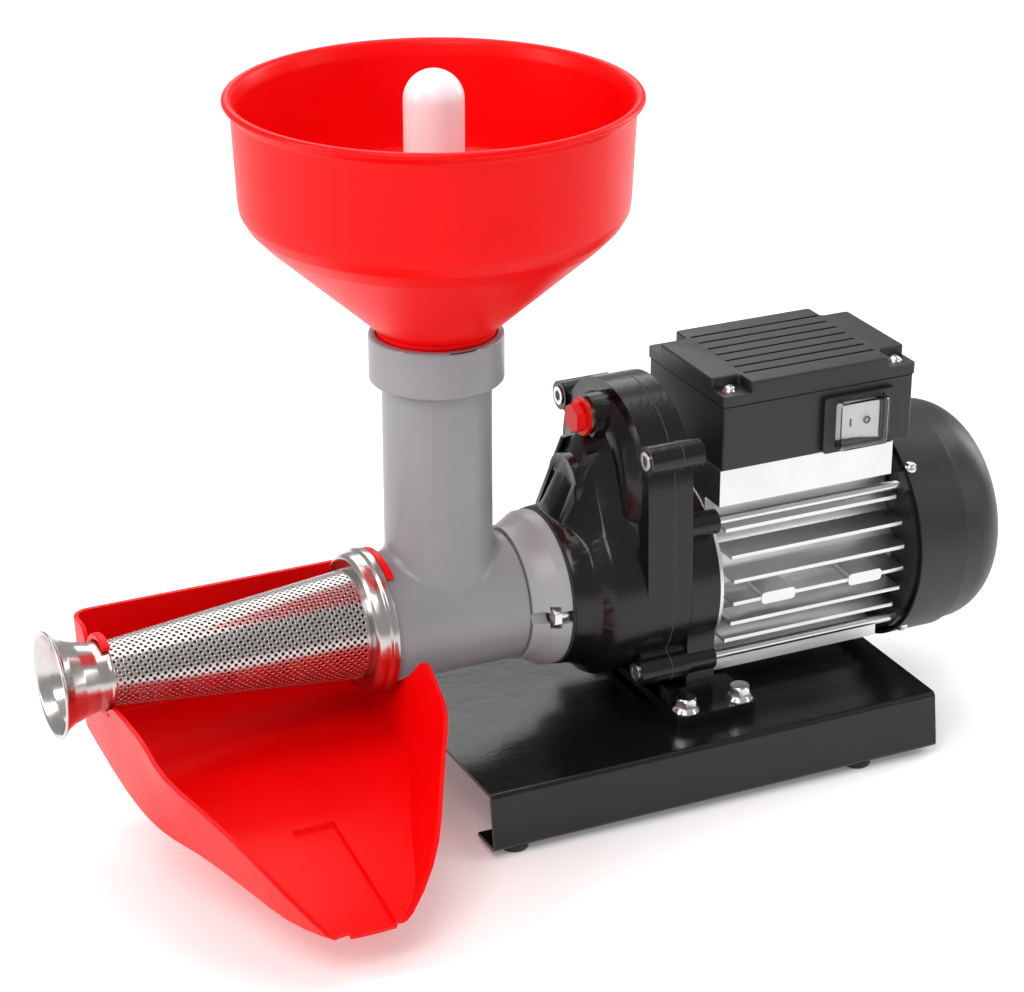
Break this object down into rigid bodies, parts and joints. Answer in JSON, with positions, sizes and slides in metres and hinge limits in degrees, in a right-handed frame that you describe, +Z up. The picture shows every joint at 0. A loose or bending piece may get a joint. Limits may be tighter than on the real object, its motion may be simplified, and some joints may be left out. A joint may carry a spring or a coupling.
{
  "type": "tomato_strainer",
  "caption": "Electric tomato strainer: funnel and feed tube over a motor-driven screw in a perforated cone, with a waste outlet, drip tray, gearbox, finned motor and sheet base.",
  "frame": {"origin": "bottom centre of the bounding box, on the floor under the rubber feet", "axes": "+X runs along the screw towards the motor, +Y away from the drip tray's spout, +Z up"},
  "size_m": [0.5105, 0.2558, 0.3785],
  "materials": {
    "black_gloss_paint": "gloss",
    "black_matte_plastic": "matte",
    "black_rubber": "matte",
    "gasket_paper": "matte",
    "zinc_steel": "satin",
    "stainless_steel": "satin",
    "machined_steel": "satin",
    "cast_aluminium": "satin",
    "red_plastic": "satin",
    "grey_plastic": "satin",
    "light_grey_plastic": "satin",
    "white_plastic": "satin",
    "clear_plastic": "clear gloss",
    "copper_enamel": "gloss",
    "silver_can": "satin",
    "copper_washer": "satin",
    "painted_shield": "satin"
  },
  "bodies": {
    "machine": {"base_frame": "black_gloss_paint", "rubber_feet": "black_rubber", "foot_bolts": "zinc_steel", "foot_nuts": "zinc_steel", "feed_body": "grey_plastic", "adaptor_flange": "light_grey_plastic", "adaptor_bolts": "zinc_steel", "adaptor_seal": "black_rubber", "output_seal": "black_rubber", "gear_case_front": "black_gloss_paint", "case_gasket": "gasket_paper", "gear_case_rear": "black_gloss_paint", "case_screws": "zinc_steel", "oil_plug": "red_plastic", "oil_plug_washer": "copper_washer", "output_bearings": "machined_steel", "idler_bearings": "machined_steel", "motor_front_shield": "black_gloss_paint", "stator_housing": "cast_aluminium", "tie_rods": "zinc_steel", "stator_core": "machined_steel", "stator_windings": "copper_enamel", "motor_bearings": "machined_steel", "rear_shield": "painted_shield", "fan_cover": "black_matte_plastic", "fan_cover_screws": "zinc_steel", "terminal_box": "black_matte_plastic", "box_gasket": "black_rubber", "box_lid": "black_matte_plastic", "lid_screws": "zinc_steel", "capacitor": "silver_can", "terminal_block": "white_plastic", "cable_gland": "black_matte_plastic", "switch_frame": "black_matte_plastic", "switch_hood": "clear_plastic"},
    "rotor": {"motor_shaft": "machined_steel", "motor_pinion": "machined_steel", "rotor_core": "machined_steel", "cooling_fan": "black_matte_plastic"},
    "idler": {"idler_shaft": "machined_steel", "idler_gear": "machined_steel"},
    "screw": {"output_gear": "machined_steel", "output_shaft": "machined_steel", "auger": "black_matte_plastic"},
    "filter": {"filter_cone": "stainless_steel", "waste_outlet": "stainless_steel"},
    "ring": {"filter_ring": "stainless_steel"},
    "tray": {"drip_tray": "red_plastic"},
    "hopper": {"funnel": "red_plastic"},
    "plunger": {"pusher": "white_plastic"},
    "rocker": {"switch_rocker": "white_plastic"}
  },
  "joints": [
    {"name": "rotor_spin", "type": "hinge", "parent": "machine", "child": "rotor", "pos_m": [-0.05175, 0.0281, 0.101], "axis": [1, 0, 0], "continuous": true},
    {"name": "idler_spin", "type": "hinge", "parent": "machine", "child": "idler", "pos_m": [-0.05175, 0.0281, 0.155], "axis": [1, 0, 0], "continuous": true},
    {"name": "screw_spin", "type": "hinge", "parent": "machine", "child": "screw", "pos_m": [-0.05175, 0.0281, 0.101], "axis": [1, 0, 0], "continuous": true},
    {"name": "filter_slide", "type": "slide", "parent": "machine", "child": "filter", "axis": [-1, 0, 0], "range_m": [0, 0.2]},
    {"name": "ring_twist", "type": "hinge", "parent": "filter", "child": "ring", "pos_m": [-0.05175, 0.0281, 0.101], "axis": [1, 0, 0], "range_deg": [-35, 0]},
    {"name": "tray_swing", "type": "hinge", "parent": "filter", "child": "tray", "pos_m": [-0.05175, 0.0281, 0.101], "axis": [1, 0, 0], "range_deg": [-20, 6]},
    {"name": "funnel_lift", "type": "slide", "parent": "machine", "child": "hopper", "axis": [0, 0, 1], "range_m": [0, 0.06]},
    {"name": "pusher_stroke", "type": "slide", "parent": "machine", "child": "plunger", "axis": [0, 0, 1], "range_m": [0, 0.2]},
    {"name": "switch_rock", "type": "hinge", "parent": "machine", "child": "rocker", "pos_m": [0.16125, -0.0137, 0.182], "axis": [0, 0, 1], "range_deg": [0, 22]}
  ],
  "couplings": [
    {"joint": "idler_spin", "follows": "rotor_spin", "ratio": -0.33333},
    {"joint": "screw_spin", "follows": "rotor_spin", "ratio": 0.087719}
  ]
}
